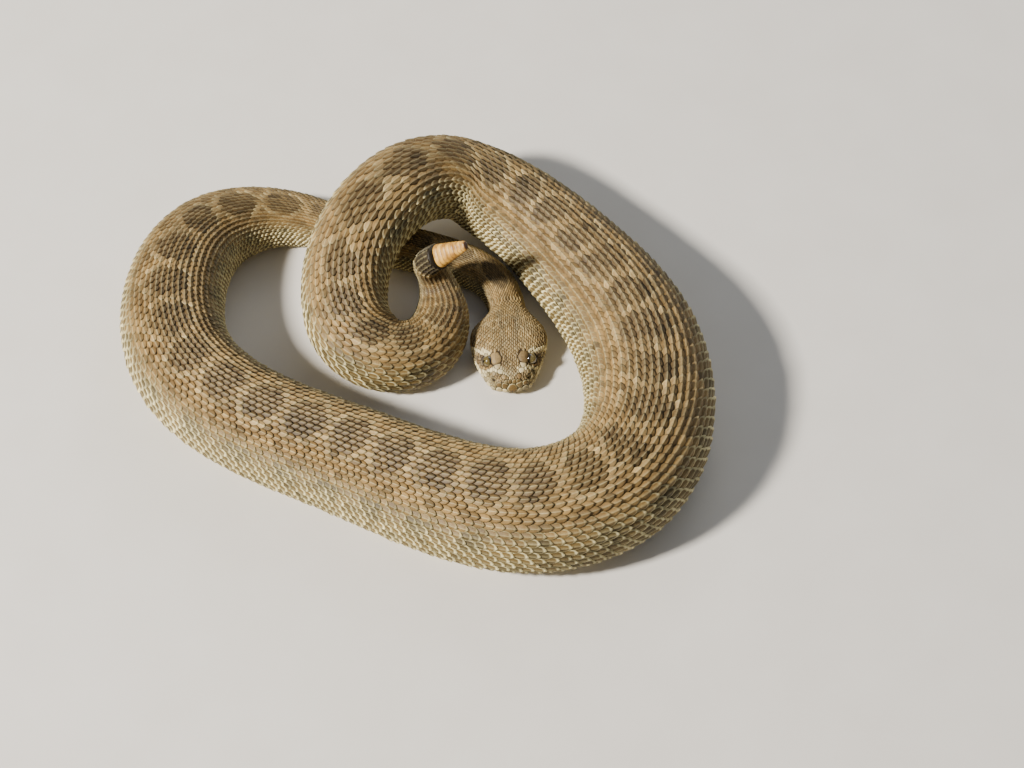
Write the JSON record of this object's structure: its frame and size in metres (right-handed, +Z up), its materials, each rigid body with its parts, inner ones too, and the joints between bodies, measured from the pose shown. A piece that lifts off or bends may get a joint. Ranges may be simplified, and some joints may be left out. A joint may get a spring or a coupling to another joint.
{
  "type": "rattlesnake",
  "caption": "Life-size rattlesnake at rest on its belly in loose coils, head drawn in beside the body and rattle raised in the middle.",
  "frame": {"origin": "middle of the footprint, on the plane the belly rests on", "axes": "+X along the coil's length, +Y away from the snout, +Z up from the belly"},
  "size_m": [0.2942, 0.247, 0.0665],
  "materials": {
    "head": "small keeled scales, tan with cream cheek stripes",
    "jaw": "smooth cream lip and chin shields",
    "back": "keeled scales, tan with grey-brown blotches",
    "tail": "keeled scales, brown and dark towards the rattle",
    "eye": "glossy, upright slit pupil",
    "rattle": "dry horn, semi-gloss"
  },
  "bodies": {
    "root": {"head": "head", "lower_jaw": "jaw", "eye_left": "eye", "eye_right": "eye", "neck": "back", "body_01": "back", "body_02": "back", "body_03": "back", "body_04": "back", "body_05": "back", "body_06": "back", "body_07": "back", "body_08": "back", "body_09": "back", "body_10": "back", "body_11": "back", "body_12": "back", "body_13": "back", "body_14": "back", "body_15": "back", "body_16": "back", "tail": "tail", "rattle": "rattle"}
  },
  "joints": []
}
